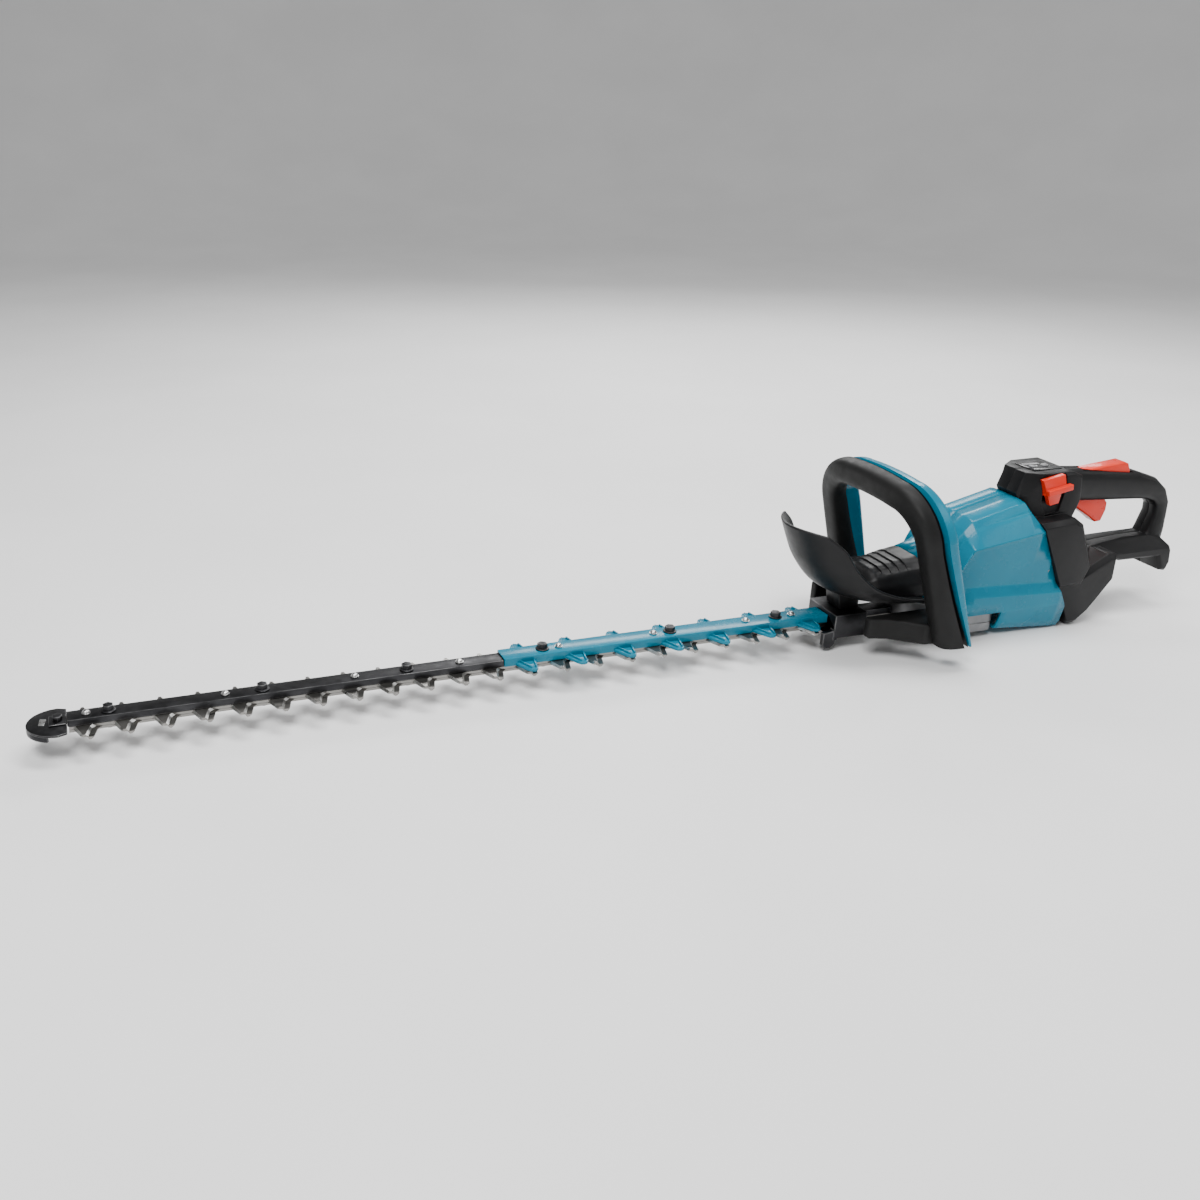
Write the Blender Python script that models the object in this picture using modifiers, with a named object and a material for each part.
"""A cordless double-sided hedge trimmer with a swivelling rear handle, as an assembly of separate pieces.

Axes while modelling: the blades lie along X with the tip towards -X, Y = 0 is the middle plane and Z = 0 is
the underside of the lower blade. All sizes are in millimetres; each mesh is scaled to metres when it becomes
an object. The last step moves the whole assembly so that its origin is under the middle of its lowest level.
"""

import math

import bmesh
import bpy
from mathutils import Matrix, Vector

MM = 0.001
GAP = 0.3            # clearance between pieces that touch
ROUND = 24           # sides of a plain round piece

# Cutting gear
TOOTH_PITCH = 35.0
TEETH = 22
TOOTH_REACH = 26.0   # tooth tip from the middle plane
SPINE = 9.0          # half width of a blade between its teeth
BLADE_THICKNESS = 2.6
BLADE_FRONT = -13.0
STROKE = 17.5        # travel of each blade
STAGGER = 5.0        # offset between the two rows of teeth at the end of a stroke
BAR_HALF_WIDTH = 9.0
BAR_HEIGHT = 6.6
BAR_WALL = 1.8
BOLT_RADIUS = 3.0
BOLT_PITCH = 140.0
FIRST_BOLT = 22.5
FINGER_PITCH = 52.5
FINGERS = 7
FINGER_REACH = 29.5
GUARD_WALL = 2.0
GUARD_START = 399.0

# Drive
CRANK_RADIUS = STROKE / 2
CRANK_SHAFT_RADIUS = 5.0
CAM_RADIUS = 16.5
GEAR_TEETH = 40
PINION_TEETH = 8
GEAR_MODULE = 1.9
GEAR_HEIGHT = 7.0
CASE_WALL = 3.0
MOTOR_RADIUS = 26.0
MOTOR_HEIGHT = 38.0
MOTOR_SHAFT_RADIUS = 3.0

# Casings
CASE_CENTRE_X = 885.0
HOUSING_HALF_WIDTH = 50.0
HOUSING_RISE = 0.24  # slope of the ridge
SHELL = 2.5
SWIVEL_TILT = math.radians(27)
SWIVEL_CENTRE = Vector((1010.0, 0.0, 52.0))
RING_RADIUS = 31.0
BULGE_HALF_WIDTH = 50.0
HEAD_HALF_WIDTH = 30.0
HEAD_TOP = 153.0
GRIP_HALF_WIDTH = 14.5
BEAM_HALF_WIDTH = 28.0
MOUNT_LEVEL = 42.0   # underside of the battery rails
LOOP_TOP = 155.0     # middle line of the front handle at its top
LOOP_HALF_WIDTH = 81.0
LOOP_THICKNESS = 29.0
LOOP_DEPTH = 32.0
LOOP_SPLIT = 2.0     # joint between the grip and its rear shell, behind the middle line
LOOP_X = 855.0       # middle line of the front handle at the height of the blades
LOOP_LEAN = 0.3      # how far it leans forward for each millimetre of height
FOOT_SPREAD = 7.0
LOOP_CORNER = 42.0
FOOT_LEVEL = 4.0

# Levels and places that follow from them
UPPER_LEVEL = BLADE_THICKNESS + GAP
BAR_LEVEL = UPPER_LEVEL + BLADE_THICKNESS + GAP
BAR_TOP = BAR_LEVEL + BAR_HEIGHT
GUARD_TOP = BAR_TOP + GAP + GUARD_WALL
LAST_TOOTH = TOOTH_PITCH * (TEETH - 1)
BRACKET_X = LAST_TOOTH + STROKE + 9.5
BRACKET_END = BRACKET_X + 38.0
GEAR_RADIUS = GEAR_MODULE * GEAR_TEETH / 2
PINION_RADIUS = GEAR_MODULE * PINION_TEETH / 2
CASE_RADIUS = GEAR_RADIUS + GEAR_MODULE * 0.55 + 1.5
CASE_HALF_WIDTH = CASE_RADIUS + CASE_WALL
MOTOR_X = CASE_CENTRE_X + GEAR_RADIUS + PINION_RADIUS
GEAR_LEVEL = BAR_LEVEL + 3.2
CASE_ROOF = GEAR_LEVEL + GEAR_HEIGHT + 1.6
CASE_TOP = CASE_ROOF + 7.4
CASE_FLOOR = -3.0
COVER_BOTTOM = -13.0
AXIS = Vector((math.cos(SWIVEL_TILT), 0, math.sin(SWIVEL_TILT)))
UPWARDS = Vector((-math.sin(SWIVEL_TILT), 0, math.cos(SWIVEL_TILT)))
SEAM = 0.8           # the rear handle starts this far behind the seam plane
FRONT_WALL = 7.0     # thickness of the rear handle's wall around the ring
LATCH_LEVEL = SEAM + FRONT_WALL + 6.5

# Pivots of the moving pieces
TRIGGER_PIVOT = Vector((1059.0, 0.0, 115.0))
LOCK_OFF_PIVOT = Vector((1072.0, 0.0, 138.0))
LATCH_TILT = math.radians(10)
LATCH_TRAVEL = 6.0
LATCH_PLACE = Vector((1004.0, -HEAD_HALF_WIDTH, 134.0))
PIN_RADIUS = 2.0

PARTS = bpy.data.collections.new("hedge_trimmer")
LOOKS = {}
FRAMES = {}


# ---------------------------------------------------------------- shapes, in millimetres

def clear_scene():
    for thing in list(bpy.data.objects):
        bpy.data.objects.remove(thing)


def as_mesh(bm):
    mesh = bpy.data.meshes.new("shape")
    bmesh.ops.recalc_face_normals(bm, faces=bm.faces)
    bm.to_mesh(mesh)
    bm.free()
    return mesh


def from_mesh(mesh):
    bm = bmesh.new()
    bm.from_mesh(mesh)
    return bm


def baked(thing, weld=0.001):
    """The evaluated mesh of a temporary object, welded; the object is removed."""
    bpy.context.scene.collection.objects.link(thing)
    evaluated = thing.evaluated_get(bpy.context.evaluated_depsgraph_get())
    mesh = bpy.data.meshes.new_from_object(evaluated)
    bpy.data.objects.remove(thing)
    bm = from_mesh(mesh)
    bmesh.ops.remove_doubles(bm, verts=bm.verts, dist=weld)
    return as_mesh(bm)


def box(x0, x1, y0, y1, z0, z1):
    bm = bmesh.new()
    bmesh.ops.create_cube(bm, size=1)
    bmesh.ops.scale(bm, verts=bm.verts, vec=(x1 - x0, y1 - y0, z1 - z0))
    bmesh.ops.translate(bm, verts=bm.verts, vec=((x0 + x1) / 2, (y0 + y1) / 2, (z0 + z1) / 2))
    return as_mesh(bm)


def rod(radius, z0, z1, x=0.0, y=0.0, sides=ROUND):
    bm = bmesh.new()
    bmesh.ops.create_cone(bm, cap_ends=True, segments=sides, radius1=radius, radius2=radius, depth=z1 - z0)
    bmesh.ops.translate(bm, verts=bm.verts, vec=(x, y, (z0 + z1) / 2))
    return as_mesh(bm)


def plate(outlines, z0, z1):
    """A flat plate: the first outline is its edge and the others are its holes."""
    curve = bpy.data.curves.new("plate", "CURVE")
    curve.dimensions = "2D"
    curve.fill_mode = "BOTH"
    curve.extrude = (z1 - z0) / 2
    for outline in outlines:
        spline = curve.splines.new("POLY")
        spline.points.add(len(outline) - 1)
        for point, (x, y) in zip(spline.points, outline):
            point.co = (x, y, 0, 1)
        spline.use_cyclic_u = True
    mesh = baked(bpy.data.objects.new("plate", curve))
    mesh.transform(Matrix.Translation((0, 0, (z0 + z1) / 2)))
    return mesh


def turned(profile, steps=12, ring=False):
    """A profile of (radius, height) points, from top to bottom down its outer side, turned about Z."""
    mesh = bpy.data.meshes.new("profile")
    edges = [(i, i + 1) for i in range(len(profile) - 1)]
    if ring:
        edges.append((len(profile) - 1, 0))
    mesh.from_pydata([(r, 0, z) for r, z in profile], edges, [])
    thing = bpy.data.objects.new("turned", mesh)
    screw = thing.modifiers.new("turn", "SCREW")
    screw.steps = steps
    screw.render_steps = steps
    screw.use_merge_vertices = True
    screw.merge_threshold = 0.0001
    return baked(thing)


def side_block(outline, half_width, edge=0.0, segments=1):
    """A block with this (x, z) outline seen from the side, and bevelled or rounded side edges."""
    bm = bmesh.new()
    face = bm.faces.new([bm.verts.new((x, -half_width, z)) for x, z in outline])
    swept = bmesh.ops.extrude_face_region(bm, geom=[face])
    top = [v for v in swept["geom"] if isinstance(v, bmesh.types.BMVert)]
    bmesh.ops.translate(bm, verts=top, vec=(0, 2 * half_width, 0))
    bmesh.ops.recalc_face_normals(bm, faces=bm.faces)
    if edge:
        rims = [e for e in bm.edges if abs(e.verts[0].co.y - e.verts[1].co.y) < 0.01]
        bmesh.ops.bevel(bm, geom=rims, offset=edge, segments=segments, profile=0.5, affect="EDGES",
                        clamp_overlap=True, material=-1)
    return as_mesh(bm)


def loft(sections, closed=True, cap_first=True, cap_last=True):
    """A skin through sections with the same number of points."""
    bm = bmesh.new()
    rings = [[bm.verts.new(point) for point in section] for section in sections]
    count = len(sections[0])
    for a, b in zip(rings, rings[1:]):
        for i in range(count if closed else count - 1):
            j = (i + 1) % count
            bm.faces.new((a[i], a[j], b[j], b[i]))
    if cap_first:
        bm.faces.new(rings[0])
    if cap_last:
        bm.faces.new(rings[-1])
    return as_mesh(bm)


def thickened(mesh, thickness, offset):
    thing = bpy.data.objects.new("skin", mesh)
    wall = thing.modifiers.new("wall", "SOLIDIFY")
    wall.thickness = thickness
    wall.offset = offset
    wall.use_even_offset = True
    return baked(thing)


def combined(base, operation, *tools):
    """The base mesh with every tool mesh united with it, taken from it or kept in common with it."""
    thing = bpy.data.objects.new("base", base)
    helpers = []
    for tool in tools:
        helper = bpy.data.objects.new("tool", tool)
        helper.hide_render = True
        bpy.context.scene.collection.objects.link(helper)
        step = thing.modifiers.new("step", "BOOLEAN")
        step.operation = operation
        step.solver = "EXACT"
        step.object = helper
        helpers.append(helper)
    result = baked(thing)
    for helper in helpers:
        bpy.data.objects.remove(helper)
    return result


def cut(base, *tools):
    return combined(base, "DIFFERENCE", *tools)


def joined(base, *tools):
    return combined(base, "UNION", *tools)


def moved(mesh, matrix):
    mesh.transform(matrix)
    return mesh


def on_swivel_axis(mesh):
    """Turns a piece made about Z so that it lies along the swivel axis, with its zero at the seam plane."""
    turn = Matrix.Rotation(math.pi / 2 - SWIVEL_TILT, 4, "Y")
    return moved(mesh, Matrix.Translation(SWIVEL_CENTRE) @ turn)


def swivel_point(along, up, y=0.0):
    return SWIVEL_CENTRE + AXIS * along + UPWARDS * up + Vector((0, y, 0))


def seam_x(z, behind=0.0):
    """X of the seam plane at a height, or of a plane so far behind it."""
    centre = SWIVEL_CENTRE
    return centre.x + (centre.z - z) * math.tan(SWIVEL_TILT) + behind / math.cos(SWIVEL_TILT)


def before_seam(behind):
    """A block that covers everything in front of a plane parallel to the seam."""
    turn = Matrix.Rotation(-SWIVEL_TILT, 4, "Y")
    place = Matrix.Translation(swivel_point(behind, 0)) @ turn
    return moved(box(-300, 0, -200, 200, -300, 300), place)


def behind_seam():
    turn = Matrix.Rotation(-SWIVEL_TILT, 4, "Y")
    return moved(box(0, 300, -200, 200, -300, 300), Matrix.Translation(swivel_point(0, 0)) @ turn)


def lengthwise(outline, x0, x1):
    """A bar along X with this (y, z) outline."""
    turn = Matrix(((0, 0, 1, 0), (1, 0, 0, 0), (0, 1, 0, 0), (0, 0, 0, 1)))
    return moved(plate([outline], x0, x1), turn)


def crosswise(mesh, pivot):
    """Lays a round piece made about Z along Y, through a pivot."""
    return moved(mesh, Matrix.Translation(pivot) @ Matrix.Rotation(math.pi / 2, 4, "X"))


def arc(cx, cy, radius, start, end, steps):
    angles = [math.radians(start + (end - start) * i / steps) for i in range(steps + 1)]
    return [(cx + radius * math.cos(a), cy + radius * math.sin(a)) for a in angles]


def helix(radius, wire, z0, z1, turns, per_turn=10):
    """A coil spring about Z."""
    curve = bpy.data.curves.new("coil", "CURVE")
    curve.dimensions = "3D"
    curve.bevel_depth = wire / 2
    curve.bevel_resolution = 2
    curve.use_fill_caps = True
    count = turns * per_turn
    spline = curve.splines.new("POLY")
    spline.points.add(count)
    for i, point in enumerate(spline.points):
        angle = 2 * math.pi * i / per_turn
        height = z0 + wire / 2 + (z1 - z0 - wire) * i / count
        point.co = (radius * math.cos(angle), radius * math.sin(angle), height, 1)
    return baked(bpy.data.objects.new("coil", curve))


# ---------------------------------------------------------------- objects

def look(name, colour, roughness, metallic=0.0):
    if name not in LOOKS:
        material = bpy.data.materials.new(name)
        material.use_nodes = True
        shader = material.node_tree.nodes["Principled BSDF"]
        shader.inputs["Base Color"].default_value = (*colour, 1)
        shader.inputs["Roughness"].default_value = roughness
        shader.inputs["Metallic"].default_value = metallic
        material.diffuse_color = (*colour, 1)
        LOOKS[name] = material
    return LOOKS[name]


def teal():
    return look("teal_plastic", (0.0, 0.24, 0.33), 0.3)


def black():
    return look("black_plastic", (0.012, 0.012, 0.013), 0.5)


def rubber():
    return look("black_soft_grip", (0.015, 0.015, 0.016), 0.7)


def red():
    return look("red_plastic", (0.75, 0.06, 0.02), 0.35)


def steel():
    return look("bright_steel", (0.6, 0.6, 0.62), 0.25, 1.0)


def dark_steel():
    return look("black_steel", (0.03, 0.03, 0.032), 0.4, 0.7)


def cast():
    return look("cast_metal", (0.3, 0.3, 0.31), 0.45, 0.9)


def copper():
    return look("copper_winding", (0.5, 0.2, 0.08), 0.35, 1.0)


def frame(name, place, parent=None):
    """An empty that carries pieces; its place is in the modelling axes."""
    empty = bpy.data.objects.new(name, None)
    origin = FRAMES[parent][1] if parent else Vector((0, 0, 0))
    empty.location = (Vector(place) - origin) * MM
    if parent:
        empty.parent = FRAMES[parent][0]
    PARTS.objects.link(empty)
    FRAMES[name] = (empty, Vector(place))


def piece(name, mesh, material, carrier="assembly", pivot=None):
    """Makes the object of a piece from a mesh in the modelling axes, with its origin on its pivot."""
    parent, origin = FRAMES[carrier]
    pivot = Vector(pivot) if pivot is not None else origin
    mesh.transform(Matrix.Scale(MM, 4) @ Matrix.Translation(-pivot))
    mesh.name = name
    mesh.shade_smooth()
    mesh.set_sharp_from_angle(angle=math.radians(32))
    mesh.materials.clear()
    mesh.materials.append(material)
    thing = bpy.data.objects.new(name, mesh)
    thing.parent = parent
    thing.location = (pivot - origin) * MM
    PARTS.objects.link(thing)
    return thing


# ---------------------------------------------------------------- cutting gear

def bolt_places():
    regular = [FIRST_BOLT + BOLT_PITCH * i for i in range(5)]
    return regular + [LAST_TOOTH - 30.0]


def nut_places():
    beside = [3.0, 128.0, 251.0, 356.0, 460.0, 564.0, 670.0]
    return beside + [LAST_TOOTH - 11.0]


def tooth_row(shift):
    """One edge of a blade, from front to rear: slanting teeth with blunt tips and curved gullets."""
    reach = TOOTH_REACH
    points = [(BLADE_FRONT, SPINE)]
    for i in range(TEETH):
        x = TOOTH_PITCH * i + shift
        points += [(x - 9.5, SPINE), (x - 3.0, reach - 1.2), (x - 1.4, reach), (x + 3.0, reach)]
        points += [(x + 7.0, SPINE + 3.5), (x + 11.0, SPINE)]
    return points


def yoke_row(x):
    """One edge of the crosshead round a cam whose middle is at x, from front to rear."""
    half_x = CAM_RADIUS + 2.2 + 5.0
    half_y = CAM_RADIUS + CRANK_RADIUS + 0.5 + 4.5
    return [(x - half_x - 6, SPINE), (x - half_x, SPINE + 6), (x - half_x, half_y - 8), (x - half_x + 8, half_y),
            (x + half_x - 8, half_y), (x + half_x, half_y - 8)]


def bolt_slots(direction):
    """Slots that let a blade slide past the bolts and nuts by its stroke, joined where they would meet."""
    clearance = BOLT_RADIUS + 0.5
    back = STROKE if direction > 0 else 0.0
    ahead = STROKE if direction < 0 else 0.0
    spans = sorted((x - back, x + ahead) for x in bolt_places() + nut_places()[1:])
    merged = [list(spans[0])]
    for start, end in spans[1:]:
        if start - merged[-1][1] < 2 * clearance + 3:
            merged[-1][1] = end
        else:
            merged.append([start, end])
    slots = []
    for start, end in merged:
        slots.append(arc(start, 0, clearance, 90, 270, 4) + arc(end, 0, clearance, -90, 90, 4))
    return slots


def blade(direction, shift, level):
    """direction is +1 for the blade that first moves towards the handles and -1 for the other."""
    cam_x = CASE_CENTRE_X - direction * CRANK_RADIUS
    row = tooth_row(shift) + yoke_row(cam_x)
    outline = row + [(x, -y) for x, y in reversed(row)]
    half_x = CAM_RADIUS + 2.2
    half_y = CAM_RADIUS + CRANK_RADIUS + 0.5
    slot = [(cam_x - half_x, -half_y), (cam_x + half_x, -half_y), (cam_x + half_x, half_y), (cam_x - half_x, half_y)]
    return plate([outline, slot] + bolt_slots(direction), level, level + BLADE_THICKNESS)


def add_blades():
    piece("upper_blade", blade(1, 0.0, UPPER_LEVEL), steel())
    piece("lower_blade", blade(-1, STAGGER, 0.0), steel())


def fastener_holes(low, high):
    bolts = [rod(BOLT_RADIUS + 0.5, low, high, x, 0, 10) for x in bolt_places()]
    return bolts + [rod(BOLT_RADIUS, low, high, x, 0, 10) for x in nut_places()]


def bar_end():
    return CASE_CENTRE_X - CASE_HALF_WIDTH - GAP


def add_guide_bar():
    start = BLADE_FRONT - 1.0
    bar = box(start, bar_end(), -BAR_HALF_WIDTH, BAR_HALF_WIDTH, BAR_LEVEL, BAR_TOP)
    inner = BAR_HALF_WIDTH - BAR_WALL
    trough = box(start + BAR_WALL, bar_end() + 1, -inner, inner, BAR_LEVEL - 1, BAR_TOP - BAR_WALL)
    piece("guide_bar", cut(bar, trough, *fastener_holes(BAR_LEVEL - 1, BAR_TOP + 1)), dark_steel())


def finger(x, side, base):
    """A blunt finger of the tooth guard that reaches out sideways, its root buried in the channel's wall."""
    root = BAR_HALF_WIDTH + GAP + GUARD_WALL / 2
    reach = FINGER_REACH
    points = [(x - 14, root), (x - 6, reach - 4), (x - 3.5, reach - 0.8), (x, reach), (x + 3, reach - 1),
              (x + 5, reach - 4), (x + 6.5, root + 5), (x + 10, root)]
    return plate([[(px, side * py) for px, py in points]], base, base + 3.0)


def add_tooth_guard():
    outer = BAR_HALF_WIDTH + GAP + GUARD_WALL
    inner = BAR_HALF_WIDTH + GAP
    base = BAR_LEVEL + 0.2
    end = BRACKET_X - GAP
    channel = box(GUARD_START, end, -outer, outer, base, GUARD_TOP)
    middles = [GUARD_START + 25.0 + FINGER_PITCH * i for i in range(FINGERS)]
    fingers = [finger(x, side, base + 0.3) for x in middles for side in (-1, 1)]
    trough = box(GUARD_START - 1, end + 1, -inner, inner, base - 1, BAR_TOP + GAP)
    holes = fastener_holes(BAR_TOP - 2, GUARD_TOP + 1)
    piece("tooth_guard", cut(joined(channel, *fingers), trough, *holes), teal())


def seat_level(x):
    return (GUARD_TOP if x > GUARD_START else BAR_TOP) + GAP


def add_fasteners():
    """Bolts and nuts clamp the bar over the blades; each but the first screw goes down through their slots."""
    under = -GAP
    for i, x in enumerate(bolt_places()):
        seat = seat_level(x)
        r = BOLT_RADIUS
        profile = [(0, seat + 6.0), (4.6, seat + 6.0), (5.2, seat + 5.2), (5.2, seat + 1.6), (6.8, seat + 1.3),
                   (6.8, seat), (r, seat), (r, under), (6.0, under), (5.4, under - 2.0), (0, under - 2.0)]
        piece(f"bar_bolt_{i + 1}", moved(turned(profile), Matrix.Translation((x, 0, 0))), dark_steel())
    for i, x in enumerate(nut_places()):
        seat = seat_level(x)
        r = BOLT_RADIUS - 0.5
        under = BAR_TOP - BAR_WALL - GAP if i == 0 else -GAP
        profile = [(0, seat + 3.6), (1.8, seat + 3.2), (3.2, seat + 2.2), (4.0, seat + 1.0), (4.0, seat), (r, seat),
                   (r, under), (5.5, under), (4.8, under - 2.0), (0, under - 2.0)]
        piece(f"blade_screw_{i + 1}", moved(turned(profile), Matrix.Translation((x, 0, 0))), steel())


def add_tip_guard():
    """A rounded nose over the ends of the blades, bolted to a tongue of its own."""
    half = 26.0
    nose_x = BLADE_FRONT - 9.0
    edge = arc(nose_x, 0, half, 90, 270, 16)
    edge = [(nose_x + (x - nose_x) * 1.08, y) for x, y in edge] + [(BLADE_FRONT - 1.3, -half + 3), (BLADE_FRONT - 1.3, half - 3)]
    window = [(nose_x - 17, -3), (nose_x - 12, -4), (nose_x - 10, 8), (nose_x - 16, 12)]
    sheet = plate([edge, window], BAR_LEVEL, BAR_LEVEL + 2.2)
    rim = plate([arc(nose_x, 0, half, 110, 250, 14) + arc(nose_x, 0, half - 3, 250, 110, 14)], 1.0, BAR_LEVEL + 0.5)
    rim = moved(rim, Matrix.Translation((nose_x, 0, 0)) @ Matrix.Diagonal((1.08, 1, 1, 1)) @ Matrix.Translation((-nose_x, 0, 0)))
    clip = box(nose_x - 8, BLADE_FRONT - 1.7, -9, 9, BAR_LEVEL + 1.5, BAR_LEVEL + 4.0)
    bore = rod(3.4, BAR_LEVEL - 1, BAR_LEVEL + 6, nose_x, 0, 12)
    piece("tip_guard", cut(joined(sheet, rim, clip), bore), dark_steel())
    seat = BAR_LEVEL + 4.0 + GAP
    profile = [(0, seat + 4.4), (4.0, seat + 4.4), (4.6, seat + 3.6), (4.6, seat), (3.0, seat), (3.0, BAR_LEVEL - GAP),
               (5.0, BAR_LEVEL - GAP), (4.6, BAR_LEVEL - 1.6), (0, BAR_LEVEL - 1.6)]
    piece("tip_bolt", moved(turned(profile), Matrix.Translation((nose_x, 0, 0))), dark_steel())


def add_bracket():
    """The steel block that carries the bar, with a hook on each side below it."""
    half = 25.0
    block = box(BRACKET_X, BRACKET_END, -half, half, -8.0, 19.0)
    tunnel = box(BRACKET_X - 1, BRACKET_END + 1, -BAR_HALF_WIDTH - 2.5, BAR_HALF_WIDTH + 2.5, -1.0, BAR_TOP + GAP)
    hooks = [side_block([(BRACKET_X - 12, 0), (BRACKET_X + 3, 2), (BRACKET_X + 3, -14), (BRACKET_X - 2, -18),
                         (BRACKET_X - 9, -18), (BRACKET_X - 12, -14)], 3.0) for _ in range(2)]
    for hook, side in zip(hooks, (-1, 1)):
        moved(hook, Matrix.Translation((0, side * (half - 3.2), 0)))
    piece("guide_bracket", cut(joined(block, *hooks), tunnel), dark_steel())


# ---------------------------------------------------------------- drive

def gear_outline(teeth, radius, phase):
    """Trapezoid teeth that leave a little backlash."""
    points = []
    tip = radius + GEAR_MODULE * 0.5
    root = radius - GEAR_MODULE * 0.75
    step = 2 * math.pi / teeth
    for i in range(teeth):
        middle = phase + step * i
        for r, share in ((root, -0.30), (tip, -0.13), (tip, 0.13), (root, 0.30)):
            angle = middle + step * share
            points.append((r * math.cos(angle), r * math.sin(angle)))
    return points


def circle(radius, steps=ROUND, x=0.0, y=0.0):
    return arc(x, y, radius, 0, 360 - 360 / steps, steps - 1)


def case_outline(half, front, rear, corner):
    return (arc(rear - corner, half - corner, corner, 90, 0, 4) + arc(rear - corner, corner - half, corner, 0, -90, 4)
            + arc(front + half, 0, half, -90, -270, 16))


def add_gear_case():
    front = CASE_CENTRE_X - CASE_HALF_WIDTH
    rear = MOTOR_X + 19.0
    outline = case_outline(CASE_HALF_WIDTH, front, rear, 10.0)
    body = plate([outline], CASE_FLOOR, CASE_TOP)
    gear_room = rod(CASE_RADIUS, CASE_FLOOR - 1, CASE_ROOF, CASE_CENTRE_X, 0, 32)
    pinion_room = rod(PINION_RADIUS + 3.5, CASE_FLOOR - 1, CASE_ROOF, MOTOR_X, 0, 20)
    exit_slot = box(front - 2, front + 12, -SPINE - 1.0, SPINE + 1.0, CASE_FLOOR - 1, BAR_LEVEL - GAP)
    bearing_seat = rod(11.0 + GAP, CASE_ROOF - 1, CASE_ROOF + 5.6, CASE_CENTRE_X, 0)
    motor_seat = rod(8.0 + GAP, CASE_ROOF + 1.0, CASE_TOP + 1, MOTOR_X, 0, 20)
    motor_hole = rod(MOTOR_SHAFT_RADIUS + 1.0, CASE_ROOF - 1, CASE_ROOF + 2, MOTOR_X, 0, 16)
    body = cut(body, gear_room, pinion_room, exit_slot, bearing_seat, motor_seat, motor_hole)
    piece("gear_housing", body, cast())
    cover = plate([outline], COVER_BOTTOM, CASE_FLOOR - GAP)
    lower_seat = rod(11.0 + GAP, COVER_BOTTOM + 2.4, CASE_FLOOR + 1, CASE_CENTRE_X, 0)
    exit_floor = box(front - 2, front + 12, -SPINE - 1.0, SPINE + 1.0, CASE_FLOOR - 2, CASE_FLOOR + 1)
    piece("crankcase_cover", cut(cover, lower_seat, exit_floor), dark_steel())


def bearing(inner, outer, z0, z1, x):
    ring = turned([(outer, z1), (outer, z0), (inner, z0), (inner, z1)], 20, ring=True)
    return moved(ring, Matrix.Translation((x, 0, 0)))


def crank_piece(name, mesh, material):
    pivot = (CASE_CENTRE_X, 0, 0)
    piece(name, moved(mesh, Matrix.Translation(pivot)), material, pivot=pivot)


def add_crank():
    r = CRANK_SHAFT_RADIUS
    shaft_bottom = COVER_BOTTOM + 2.8
    shaft_top = CASE_ROOF + 5.2
    crank_piece("crank_shaft", rod(r, shaft_bottom, shaft_top), steel())
    for name, side, z0 in (("upper_cam", -1, UPPER_LEVEL), ("lower_cam", 1, 0.0)):
        disc = plate([circle(CAM_RADIUS, 28, side * CRANK_RADIUS), circle(r + GAP, 20)], z0, z0 + BLADE_THICKNESS)
        crank_piece(name, disc, cast())
    wheel = plate([gear_outline(GEAR_TEETH, GEAR_RADIUS, 0.0), circle(r + GAP, 20)], GEAR_LEVEL, GEAR_LEVEL + GEAR_HEIGHT)
    crank_piece("crank_gear", wheel, steel())
    piece("crank_bearing_upper", bearing(r + GAP, 11.0, CASE_ROOF + 0.3, CASE_ROOF + 5.3, CASE_CENTRE_X), steel())
    piece("crank_bearing_lower", bearing(r + GAP, 11.0, COVER_BOTTOM + 2.8, CASE_FLOOR - 0.8, CASE_CENTRE_X), steel())


def rotor_piece(name, mesh, material):
    pivot = (MOTOR_X, 0, 0)
    piece(name, moved(mesh, Matrix.Translation(pivot)), material, pivot=pivot)


def add_motor():
    base = CASE_TOP + 10.0
    top = base + MOTOR_HEIGHT
    r = MOTOR_SHAFT_RADIUS
    core = MOTOR_RADIUS * 0.54
    stator = turned([(MOTOR_RADIUS, top), (MOTOR_RADIUS, base), (core + 0.8, base), (core + 0.8, top)], 28, ring=True)
    piece("motor_stator", moved(stator, Matrix.Translation((MOTOR_X, 0, 0))), copper())
    rotor = turned([(0, top + 17), (r, top + 17), (r, top - 3), (core, top - 3), (core, base + 3), (r, base + 3),
                    (r, GEAR_LEVEL - 0.5), (0, GEAR_LEVEL - 0.5)], 20)
    rotor_piece("motor_rotor", rotor, steel())
    pinion = plate([gear_outline(PINION_TEETH, PINION_RADIUS, math.pi / PINION_TEETH), circle(r + GAP, 16)],
                   GEAR_LEVEL, GEAR_LEVEL + GEAR_HEIGHT)
    rotor_piece("motor_pinion", pinion, steel())
    blades = []
    for i in range(9):
        angle = 2 * math.pi * i / 9
        for r1, turn in ((7.5, -0.10), (24.0, -0.04), (24.0, 0.12), (7.5, 0.10)):
            blades.append((r1 * math.cos(angle + turn), r1 * math.sin(angle + turn)))
    fan = plate([blades, circle(r + GAP, 16)], top + 4, top + 9)
    rotor_piece("motor_fan", fan, black())
    piece("motor_bearing_lower", bearing(r + GAP, 8.0, CASE_ROOF + 1.4, CASE_TOP - 0.3, MOTOR_X), steel())
    piece("motor_bearing_upper", bearing(r + GAP, 8.0, top + 11, top + 16, MOTOR_X), steel())


# ---------------------------------------------------------------- front casings

def ridge(x):
    return 110.0 + HOUSING_RISE * (x - 906.0)


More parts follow.
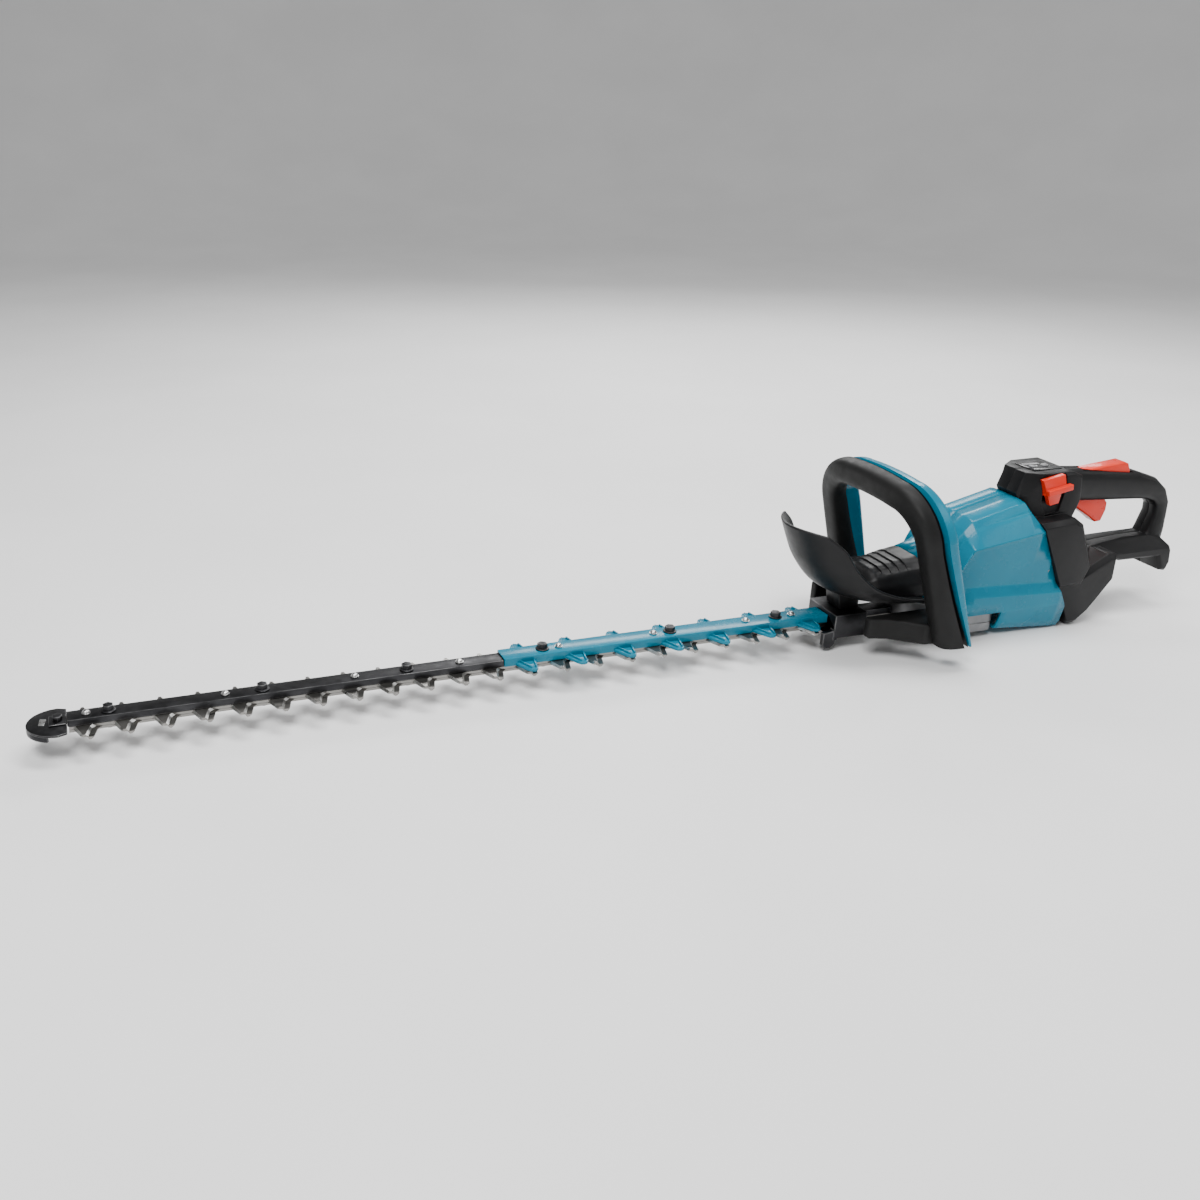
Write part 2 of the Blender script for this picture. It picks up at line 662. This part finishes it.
def housing_section(x, top, side, drop=0.0):
    """The left half of the housing's skin at x, from the ridge round to the middle of the floor."""
    band_top = min(95.0 + 0.18 * (x - 880.0), top - 8) - drop
    band_low = min(82.0 + 0.135 * (x - 885.0), band_top - 8)
    floor = -11.0 - 0.09 * (x - 927.0)
    inset = HOUSING_HALF_WIDTH - side
    points = [(GAP / 2, top), (13.0, top), (27.0 - inset * 0.3, top - 4.0), (38.0 - inset, band_top + 0.45 * (top - band_top - 4)),
              (41.0 - inset, band_top + 2), (45.0 - inset, band_top), (side, band_low), (side - 1.5, 38.0), (side, 27.5),
              (side, 8.0), (side - 4.0, floor + 8), (side - 8.0, floor), (GAP / 2, floor)]
    return [Vector((x, -y, z)) for y, z in points]


def housing_half(side):
    """One moulded half of the motor housing: an open skin, cut at the seam plane and given its wall."""
    wide = HOUSING_HALF_WIDTH
    sections = [housing_section(858.0, 72.0, wide - 8.5, 20.0), housing_section(876.0, 77.0, wide - 6.5, 17.0),
                housing_section(893.0, 88.0, wide - 3.0, 8.0), housing_section(903.0, 102.0, wide - 1.0, 2.0),
                housing_section(912.0, ridge(912.0), wide),
                housing_section(1075.0, ridge(1075.0), wide)]
    skin = from_mesh(loft(sections, closed=False, cap_first=False, cap_last=False))
    everything = skin.verts[:] + skin.edges[:] + skin.faces[:]
    bmesh.ops.bisect_plane(skin, geom=everything, dist=0.001, plane_co=swivel_point(4, 0), plane_no=AXIS, clear_outer=True)
    for face in skin.faces:
        if face.normal.dot(face.calc_center_median() - Vector((950, 0, 45))) < 0:
            face.normal_flip()
    mesh = bpy.data.meshes.new("skin")
    skin.to_mesh(mesh)
    skin.free()
    shell = thickened(mesh, SHELL, -1.0)
    low_front = box(800, 893, -90, 90, -60, CASE_TOP + 7.5)
    low_middle = box(800, MOTOR_X + 19.0 + 1.0, -90, 90, -60, 10.0)
    shell = cut(shell, low_front, low_middle, behind_seam())
    if side > 0:
        shell.transform(Matrix.Diagonal((1, -1, 1, 1)))
        shell.flip_normals()
    return shell


def add_housing():
    piece("motor_housing_left", housing_half(-1), teal())
    piece("motor_housing_right", housing_half(1), teal())


def add_front_hood():
    """The black cover in front of the motor housing."""
    sections = []
    for x, top, half in ((797.0, 57.0, 26.0), (803.0, 63.0, 31.0), (835.0, 69.5, 36.0), (857.4, 73.0, 39.0)):
        base = CASE_TOP + 11.8
        rise = top - base
        half_ring = [(half, base), (half, base + 0.4 * rise), (half - 6, base + 0.76 * rise),
                     (half - 15, base + 0.94 * rise), (half - 23, top)]
        ring = half_ring + [(-y, z) for y, z in reversed(half_ring)]
        sections.append([Vector((x, y, z)) for y, z in ring])
    skin = from_mesh(loft(sections, closed=False, cap_first=True, cap_last=False))
    for face in skin.faces:
        if face.normal.dot(face.calc_center_median() - Vector((835, 0, 45))) < 0:
            face.normal_flip()
    mesh = bpy.data.meshes.new("skin")
    skin.to_mesh(mesh)
    skin.free()
    piece("front_hood", thickened(mesh, SHELL, -1.0), black())


def guard_rows():
    """Middle (x, z), edge (x, z) and half width of the hand guard, from its top edge down and back."""
    lift = CASE_TOP + 6.5
    return [((706, 116), (731, 110), 44), ((714, 97), (742, 99), 54), ((725, 74), (758, 80), 60),
            ((741, 53), (776, 62), 61), ((762, 40), (796, 52), 62), ((786, lift + 1), (817, 45), 63),
            ((848, lift), (848, 41), 64)]


def add_hand_guard():
    """A scoop-shaped shield that carries on backwards as a tray, on a neck that stands on the bracket."""
    sections = []
    for middle, edge, half in guard_rows():
        row = []
        for i in range(-8, 9):
            t = i / 8
            row.append(Vector((middle[0] + (edge[0] - middle[0]) * t * t, half * t,
                               middle[1] + (edge[1] - middle[1]) * abs(t) ** 3)))
        sections.append(row)
    skin = loft(sections, closed=False, cap_first=False, cap_last=False)
    shield = thickened(skin, 3.2, 0.0)
    foot = 19.0 + GAP
    neck = side_block([(BRACKET_X + 12, foot), (BRACKET_X + 35, foot), (BRACKET_X + 35, 33), (BRACKET_X + 20, 38),
                       (BRACKET_X + 8, 39)], 12.0)
    piece("hand_guard", joined(shield, neck), black())


def loop_path():
    """Middle line of the front handle as (y, z, outward y, outward z, depth share), from foot to foot."""
    half = []
    shoulder = LOOP_TOP - LOOP_CORNER - 2
    for i in range(5):
        share = i / 4
        z = FOOT_LEVEL + (shoulder - FOOT_LEVEL) * share
        half.append((LOOP_HALF_WIDTH + FOOT_SPREAD * (1 - share), z, 1.0, 0.0, 1.06 - 0.06 * min(1, share * 2)))
    for i in range(1, 7):
        angle = math.pi / 2 * i / 6
        y = LOOP_HALF_WIDTH - LOOP_CORNER * (1 - math.cos(angle))
        half.append((y, shoulder + LOOP_CORNER * math.sin(angle), math.cos(angle), math.sin(angle), 1.0))
    half.append((0.0, LOOP_TOP, 0.0, 1.0, 1.0))
    return half + [(-y, z, -ny, nz, depth) for y, z, ny, nz, depth in reversed(half[:-1])]


def loop_skin(section):
    """Sweeps a section of (depth, width) points along the front handle."""
    rings = []
    for y, z, ny, nz, depth in loop_path():
        ring = [Vector((d * depth, y + ny * w, z + nz * w)) for d, w in section]
        for point in ring:
            point.x += LOOP_X - LOOP_LEAN * point.z
        rings.append(ring)
    return loft(rings)


def add_front_handle():
    half = LOOP_THICKNESS / 2
    front = -LOOP_DEPTH / 2
    rear = LOOP_DEPTH / 2 + 6
    split = LOOP_SPLIT
    grip = loop_skin([(split, half - 0.5), (-6, half), (front + 3, half - 4), (front, half - 10),
                      (front, 10 - half), (front + 3, 4 - half), (-6, -half), (split, 0.5 - half)])
    shell = loop_skin([(split + GAP, 0.5 - half), (rear - 4, 2 - half), (rear, 8 - half),
                       (rear, half - 8), (rear - 4, half - 2), (split + GAP, half - 0.5)])
    inner = CASE_HALF_WIDTH + GAP
    outer = LOOP_HALF_WIDTH + FOOT_SPREAD - 8
    sole = LOOP_X - 8
    outline = [(BRACKET_X + 20, inner), (BRACKET_X + 20, 54), (BRACKET_X + 38, 60), (LOOP_X - 22, outer), (sole, outer),
               (sole, inner)]
    arms = [plate([[(x, side * y) for x, y in outline]], FOOT_LEVEL - 1, CASE_TOP) for side in (-1, 1)]
    grip = joined(grip, *arms)
    piece("front_grip", grip, rubber())
    piece("front_grip_shell", cut(shell, box(700, 900, -inner, inner, -20, 60)), teal())


# ---------------------------------------------------------------- swivel

def add_swivel():
    tube = RING_RADIUS
    ring = turned([(tube, SEAM + FRONT_WALL + GAP), (tube, -2.0), (45.4, -2.0), (45.4, -6.0), (24.0, -6.0),
                   (24.0, SEAM + FRONT_WALL + GAP)], 32, ring=True)
    notches = []
    for angle in (-90, -45, 0, 45, 90):
        notch = box(-27.3, -20, -3.6, 3.6, SEAM, 30)
        notches.append(moved(notch, Matrix.Rotation(math.radians(angle), 4, "Z")))
    piece("index_ring", on_swivel_axis(cut(ring, *notches)), cast())
    z0 = SEAM + FRONT_WALL + 2 * GAP
    keeper = turned([(36.0, z0 + 3), (36.0, z0), (28.0, z0), (28.0, z0 + 3)], 32, ring=True)
    piece("retaining_ring", on_swivel_axis(keeper), steel())


# ---------------------------------------------------------------- rear handle

def grip_form():
    """The closed grip: a rounded bar that runs back from the head and turns down into the beam."""
    wide = GRIP_HALF_WIDTH
    stations = [(1025, 131, 88, 19, wide), (1061, 128.6, 87, 18.2, wide), (1098, 125.2, 85, 17.5, wide),
                (1136, 121.2, 82, 16.2, wide), (1160, 115.5, 64, 13.4, wide - 1), (1174.5, 107, 42, 10.6, wide - 2),
                (1182, 96, 16, 9.0, wide - 2.5), (1183, 84, 0, 8.8, wide - 2.5), (1181, 66, -6, 11.5, wide - 1.5),
                (1177, 48, 0, 15, wide - 1)]
    rings = []
    for x, z, turn, half, side in stations:
        out = Vector((math.cos(math.radians(turn)), 0, math.sin(math.radians(turn))))
        ring = []
        for i in range(16):
            angle = 2 * math.pi * (i + 0.5) / 16
            across = math.copysign(abs(math.sin(angle)) ** 0.55, math.sin(angle))
            along = math.copysign(abs(math.cos(angle)) ** 0.55, math.cos(angle))
            ring.append(Vector((x, side * across, z)) + out * (half * along))
        rings.append(ring)
    return loft(rings)


def rear_form():
    """The outside of the rear handle before it is hollowed and split."""
    bulge = side_block([(960, 103), (1026, 108), (1039, 99), (1061, 50), (1053, 28), (1010, 26)], BULGE_HALF_WIDTH, 5.0)
    belly = side_block([(1005, 36), (1049, 36), (1087, 58), (1099, 57), (1100, 28), (1079, 0), (1073, -8), (1058, -20),
                        (1020, -21.5)], BULGE_HALF_WIDTH - 4, 5.0)
    head = side_block([(960, 90), (960, 128), (970, 128), (978, HEAD_TOP), (1030, HEAD_TOP), (1042, HEAD_TOP - 5),
                       (1046, 120), (1038, 96), (1000, 90)], HEAD_HALF_WIDTH, 3.0)
    wide = HEAD_HALF_WIDTH + 1
    corners = [(955, -15), (976, -15), (1001, -wide), (1055, -wide), (1055, wide), (1001, wide), (976, 15), (955, 15)]
    head = combined(head, "INTERSECT", plate([corners], 80, 170))
    hook = grip_form()
    beam = side_block([(1050, 52), (1084, 57), (1104, 59), (1135, 61), (1168, 61), (1184, 58), (1192, 46), (1194, 31),
                       (1190, 20), (1181, 22), (1174, 39), (1120, 40), (1108, 44), (1096, 34), (1060, 30)],
                      BEAM_HALF_WIDTH, 3.0)
    wide = BEAM_HALF_WIDTH
    crown = [(-wide, 10), (wide, 10), (wide, 49), (9, 62), (-9, 62), (-wide, 49)]
    beam = combined(beam, "INTERSECT", lengthwise(crown, 1040, 1200))
    form = joined(bulge, belly, head, hook, beam)
    return cut(form, before_seam(SEAM))


def latch_matrix(drop=0.0):
    return Matrix.Translation(LATCH_PLACE) @ Matrix.Rotation(-LATCH_TILT, 4, "Y") @ Matrix.Translation((0, 0, -drop))


def rear_rooms():
    """Everything that is taken out of the rear handle."""
    wall = FRONT_WALL + SEAM
    body_room = side_block([(seam_x(92, wall), 92), (1022, 97), (1030, 92), (1047, 50), (1050, 33), (1082, 50),
                            (1091, 49), (1092, 30), (1071, 2), (1053, -13), (seam_x(-13, wall), -13)],
                           BULGE_HALF_WIDTH - 7)
    head_room = side_block([(seam_x(110, wall), 96), (seam_x(110, wall), 110), (988, 122), (990, HEAD_TOP - 6), (1028, HEAD_TOP - 6),
                            (1034, 112), (1024, 94), (1004, 94)], HEAD_HALF_WIDTH - 8)
    grip_room = box(1026, 1113, -9.3, 9.3, 117.0, 136.5)
    trigger_slot = box(1051, 1111, -7.6, 7.6, 90, 122)
    lock_slot = box(1062, 1131, -9.0, 9.0, 126, 165)
    ring_hole = on_swivel_axis(rod(RING_RADIUS + 0.5, -5, wall + 2, sides=32))
    bay = box(1112, 1168, -25.2, 25.2, 20, MOUNT_LEVEL + 4.8)
    bay_roof = box(1112, 1168, -18.4, 18.4, MOUNT_LEVEL, 51.8)
    recess = moved(side_block([(-16, 20), (18, 20), (18, 0), (9, -26), (-7, -26), (-13, -8)], 3.0), latch_matrix())
    stem_slot = moved(box(-9.6, 4.6, -2, 12, -3.8 - LATCH_TRAVEL, 6.3), latch_matrix())
    bolt_way = on_swivel_axis(box(-66, -25, -4.8, 4.8, wall - 0.5, LATCH_LEVEL + 3.8))
    panel_seat = box(990, 1026, -14.3, 14.3, HEAD_TOP - 1.8, HEAD_TOP + 4)
    pins = [crosswise(rod(PIN_RADIUS + GAP, -11.8, 11.8, sides=12), TRIGGER_PIVOT),
            crosswise(rod(PIN_RADIUS + GAP, -11.8, 11.8, sides=12), LOCK_OFF_PIVOT)]
    buttons = [rod(4.0 + GAP, 140, 170, x, 0, 16) for x in (1000, 1015)]
    return [body_room, head_room, grip_room, trigger_slot, lock_slot, ring_hole, bay, bay_roof, recess, stem_slot,
            bolt_way, panel_seat, *pins, *buttons]


def add_rear_handle():
    form = cut(rear_form(), *rear_rooms())
    for name, y0, y1 in (("rear_handle_left", -100, -GAP / 2), ("rear_handle_right", GAP / 2, 100)):
        half = combined(form.copy(), "INTERSECT", box(900, 1300, y0, y1, -100, 250))
        piece(name, half, black(), "rear_body")


def add_rear_inside():
    controller = side_block([(1052, 2), (1062, 2), (1082, 28), (1082, 44), (1070, 38), (1053, 29)], 30.0)
    piece("controller", controller, cast(), "rear_body")
    switch = box(1068, 1102, -8.8, 8.8, 121.4, 129.0)
    piece("switch_unit", switch, black(), "rear_body")
    rails = box(1112.3, 1167.7, -24.9, 24.9, MOUNT_LEVEL, MOUNT_LEVEL + 4.4)
    channel = box(1108, 1162, -14, 14, MOUNT_LEVEL - 2, MOUNT_LEVEL + 2.4)
    piece("battery_mount", cut(rails, channel), black(), "rear_body")
    level = MOUNT_LEVEL + 4.7
    contacts = [box(1130, 1158, y - 0.6, y + 0.6, level + 2, level + 4.4) for y in (-12, 0, 12)]
    terminal = joined(box(1125, 1163, -18, 18, level, level + 2.6), *contacts)
    piece("terminal_block", terminal, look("terminal_yellow", (0.45, 0.36, 0.1), 0.4), "rear_body")


def add_controls():
    """The panel, its two push buttons, the trigger, the lock-off lever and the swivel latch."""
    panel = box(990.3, 1025.7, -14, 14, HEAD_TOP - 1.5, HEAD_TOP + 0.6)
    panel = cut(panel, *[rod(4.0 + GAP, 140, 170, x, 0, 16) for x in (1000, 1015)])
    piece("control_panel", panel, look("glossy_black", (0.01, 0.01, 0.012), 0.15), "rear_body")
    for name, x in (("power_button", 1000.0), ("reverse_button", 1015.0)):
        top = HEAD_TOP + 1.6
        cap = turned([(0, top), (3.2, top), (4.0, top - 0.7), (4.0, top - 6.8), (0, top - 6.8)], 16)
        piece(name, moved(cap, Matrix.Translation((x, 0, 0))), look("button_grey", (0.3, 0.3, 0.31), 0.3), "rear_body",
              pivot=(x, 0, HEAD_TOP))
    blade_of_trigger = side_block([(1054, 109), (1054, 119), (1064, 119.5), (1098, 112.5), (1106, 104), (1106.6, 95.6),
                                   (1102.5, 82.5), (1095, 82), (1087, 88)], 7.0, 1.2)
    bore = crosswise(rod(PIN_RADIUS + GAP, -12, 12, sides=12), TRIGGER_PIVOT)
    piece("trigger", cut(blade_of_trigger, bore), red(), "rear_body", TRIGGER_PIVOT)
    piece("trigger_pin", crosswise(rod(PIN_RADIUS, -11.5, 11.5, sides=12), TRIGGER_PIVOT), steel(), "rear_body")
    spring = moved(helix(2.6, 0.8, 115.6, 121.0, 3), Matrix.Translation((1086, 0, 0)))
    piece("trigger_spring", spring, steel(), "rear_body")
    top = side_block([(1064, 142), (1069, 145.5), (1117, 150), (1123, 147.5), (1127, 139), (1127, 133.5), (1066, 133.5)],
                     7.8, 1.2)
    bore = crosswise(rod(PIN_RADIUS + GAP, -12, 12, sides=12), LOCK_OFF_PIVOT)
    piece("lock_off_lever", cut(top, bore), red(), "rear_body", LOCK_OFF_PIVOT)
    piece("lock_off_pin", crosswise(rod(PIN_RADIUS, -11.5, 11.5, sides=12), LOCK_OFF_PIVOT), steel(), "rear_body")


def add_latch():
    """A thumb slide outside, and inside it a bolt whose tooth enters a notch of the index ring."""
    plate_of_slide = side_block([(-14, 17), (13, 17), (15, 4), (10, 0), (6, -14), (-5, -14), (-9, 0)], 2.9)
    plate_of_slide = moved(plate_of_slide, Matrix.Translation((0, -0.1, 0)))
    ledge = box(-10, 20, -7.5, -1.5, -1, 5)
    stem = box(-9, 4, 1, 10.5, -3, 5.5)
    slide = moved(joined(plate_of_slide, ledge, stem), latch_matrix())
    piece("swivel_lock_slide", slide, red(), "rear_body", LATCH_PLACE)
    start = LATCH_LEVEL
    web = box(-66, -17, -4, 4, start, start + 3)
    tooth = box(-23.4, -17.5, -2.8, 2.8, SEAM + 2.5, start + 1)
    arm = box(-65, -59, -18.5, 3, start + 0.4, start + 2.6)
    riser = box(992, 999, -19, -12, 112.5, LATCH_PLACE.z + 4)
    bolt = joined(on_swivel_axis(joined(web, tooth, arm)), riser)
    piece("latch_bolt", bolt, steel(), "rear_body", LATCH_PLACE)


# ---------------------------------------------------------------- assembly

def stand_on_origin():
    """Moves the assembly so that the origin is at the middle of its underside."""
    bpy.context.view_layer.update()
    corners = []
    for thing in PARTS.objects:
        if thing.type == "MESH":
            corners += [thing.matrix_world @ Vector(corner) for corner in thing.bound_box]
    low = [min(corner[i] for corner in corners) for i in range(3)]
    high = [max(corner[i] for corner in corners) for i in range(3)]
    FRAMES["assembly"][0].location = (-(low[0] + high[0]) / 2, -(low[1] + high[1]) / 2, -low[2])
    bpy.context.view_layer.update()


def main():
    clear_scene()
    bpy.context.scene.collection.children.link(PARTS)
    frame("assembly", (0, 0, 0))
    frame("rear_body", SWIVEL_CENTRE, "assembly")
    add_blades()
    add_guide_bar()
    add_tooth_guard()
    add_fasteners()
    add_tip_guard()
    add_bracket()
    add_gear_case()
    add_crank()
    add_motor()
    add_housing()
    add_front_hood()
    add_hand_guard()
    add_front_handle()
    add_swivel()
    add_rear_handle()
    add_rear_inside()
    add_controls()
    add_latch()
    stand_on_origin()


main()
